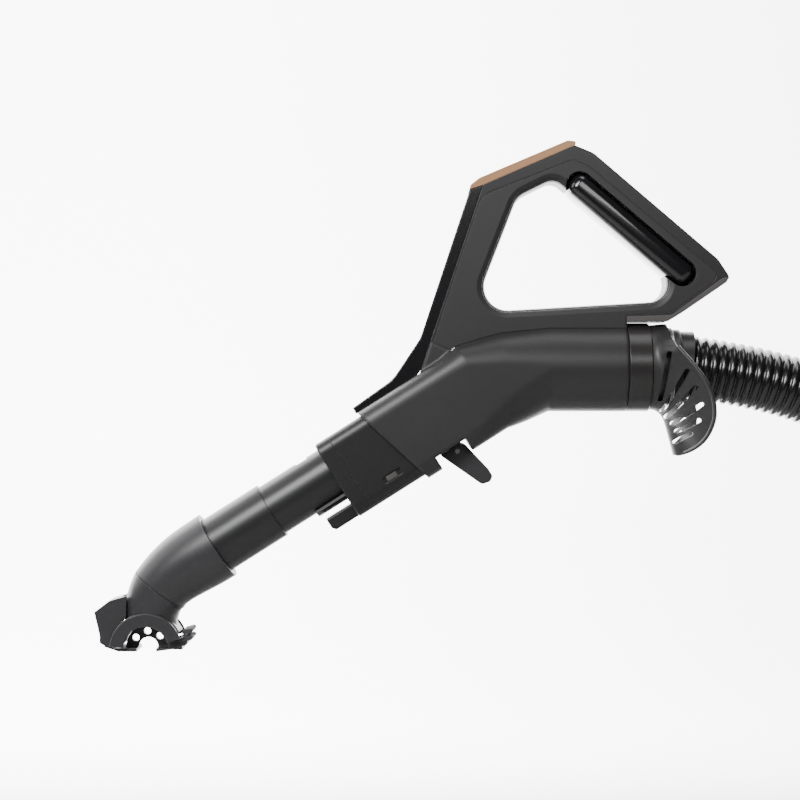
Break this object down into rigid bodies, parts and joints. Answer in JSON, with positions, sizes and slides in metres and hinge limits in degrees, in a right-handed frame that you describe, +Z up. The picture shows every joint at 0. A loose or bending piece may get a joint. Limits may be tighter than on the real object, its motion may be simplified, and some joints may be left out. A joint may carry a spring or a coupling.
{
  "type": "canister vacuum hose handle",
  "caption": "D-grip suction hose handle with bent duct, wand socket, release trigger, short wand tube, bent tilting end tool, slotted hose guard and corrugated hose ending in a connector.",
  "frame": {"origin": "middle of the hand grip, the rear post of the D-shaped frame", "axes": "+X from the wand towards the hose, +Y across the handle, +Z up; the handle as held in use, and Y = 0 is its plane of symmetry"},
  "size_m": [0.5921, 0.4488, 0.5968],
  "materials": {
    "charcoal": "fine moulded grain, satin",
    "satin_black": "satin moulded",
    "socket_black": "satin moulded with faint flow lines",
    "tube_plastic": "satin extruded",
    "tool_plastic": "satin moulded",
    "gloss_black": "polished",
    "hose_plastic": "glossy corrugated",
    "bronze": "satin bronze",
    "grey_trim": "satin",
    "rubber": "matt",
    "lint_fabric": "short pile",
    "steel": "bright",
    "contact_metal": "bright"
  },
  "bodies": {
    "handle": {"duct_body": "charcoal", "frame_left": "satin_black", "frame_right": "satin_black", "side_panel_left": "charcoal", "side_panel_right": "charcoal", "grip_pad": "gloss_black", "grip_back": "rubber", "corner_trim": "grey_trim", "spine_cover": "gloss_black", "top_trim": "bronze", "socket_block": "socket_black", "socket_bezel": "socket_black", "latch_tongue": "socket_black", "plug_shroud": "socket_black", "contact_pins": "contact_metal", "snap_tabs": "grey_trim", "tube_seal": "rubber", "trigger_pin": "steel", "trigger_spring": "steel", "guard_retainer": "steel", "hose_cuff": "satin_black", "cuff_seal": "rubber", "hose": "hose_plastic", "hose_coil": "hose_plastic", "connector_cuff": "satin_black"},
    "trigger": {"release_trigger": "charcoal"},
    "ring": {"swivel_ring": "gloss_black"},
    "guard": {"hose_guard": "charcoal"},
    "tube": {"wand_tube": "tube_plastic", "tube_sleeve": "tube_plastic"},
    "elbow": {"elbow_sleeve": "tool_plastic"},
    "neck": {"neck_elbow": "tool_plastic"},
    "shoe": {"shoe": "tool_plastic", "lint_strips": "lint_fabric"},
    "connector": {"connector_body": "charcoal", "connector_seal": "rubber", "latch_spring_left": "steel", "latch_spring_right": "steel"},
    "button_left": {"latch_button_left": "grey_trim"},
    "button_right": {"latch_button_right": "grey_trim"}
  },
  "joints": [
    {"name": "trigger_pull", "type": "hinge", "parent": "handle", "child": "trigger", "pos_m": [-0.10876, 0, -0.13548], "axis": [0, -1, 0], "range_deg": [0, 9], "stiffness_Nm_per_rad": 0.4, "springref_deg": -5.73},
    {"name": "ring_turn", "type": "hinge", "parent": "handle", "child": "ring", "pos_m": [0, 0, -0.0854], "axis": [1, 0, 0], "range_deg": [0, 60]},
    {"name": "guard_turn", "type": "hinge", "parent": "handle", "child": "guard", "pos_m": [0, 0, -0.0854], "axis": [1, 0, 0], "range_deg": [-20, 20]},
    {"name": "tube_slide", "type": "slide", "parent": "handle", "child": "tube", "axis": [-0.8453, 0, -0.5344], "range_m": [0, 0.06]},
    {"name": "elbow_turn", "type": "hinge", "parent": "tube", "child": "elbow", "pos_m": [-0.25231, 0, -0.19192], "axis": [-0.8453, 0, -0.5344], "continuous": true},
    {"name": "neck_swivel", "type": "hinge", "parent": "elbow", "child": "neck", "pos_m": [-0.2865, 0, -0.2182], "axis": [-0.604, 0, -0.797], "continuous": true},
    {"name": "shoe_tilt", "type": "hinge", "parent": "neck", "child": "shoe", "pos_m": [-0.2934, 0, -0.2526], "axis": [0, -1, 0], "range_deg": [0, 8]},
    {"name": "connector_turn", "type": "hinge", "parent": "handle", "child": "connector", "pos_m": [0.175, 0.15, -0.5279], "axis": [0, -1, 0], "continuous": true},
    {"name": "button_left_press", "type": "slide", "parent": "connector", "child": "button_left", "axis": [1, 0, 0], "range_m": [0, 0.0018], "stiffness_N_per_m": 600, "springref_m": -0.001},
    {"name": "button_right_press", "type": "slide", "parent": "connector", "child": "button_right", "axis": [-1, 0, 0], "range_m": [0, 0.0018], "stiffness_N_per_m": 600, "springref_m": -0.001}
  ]
}
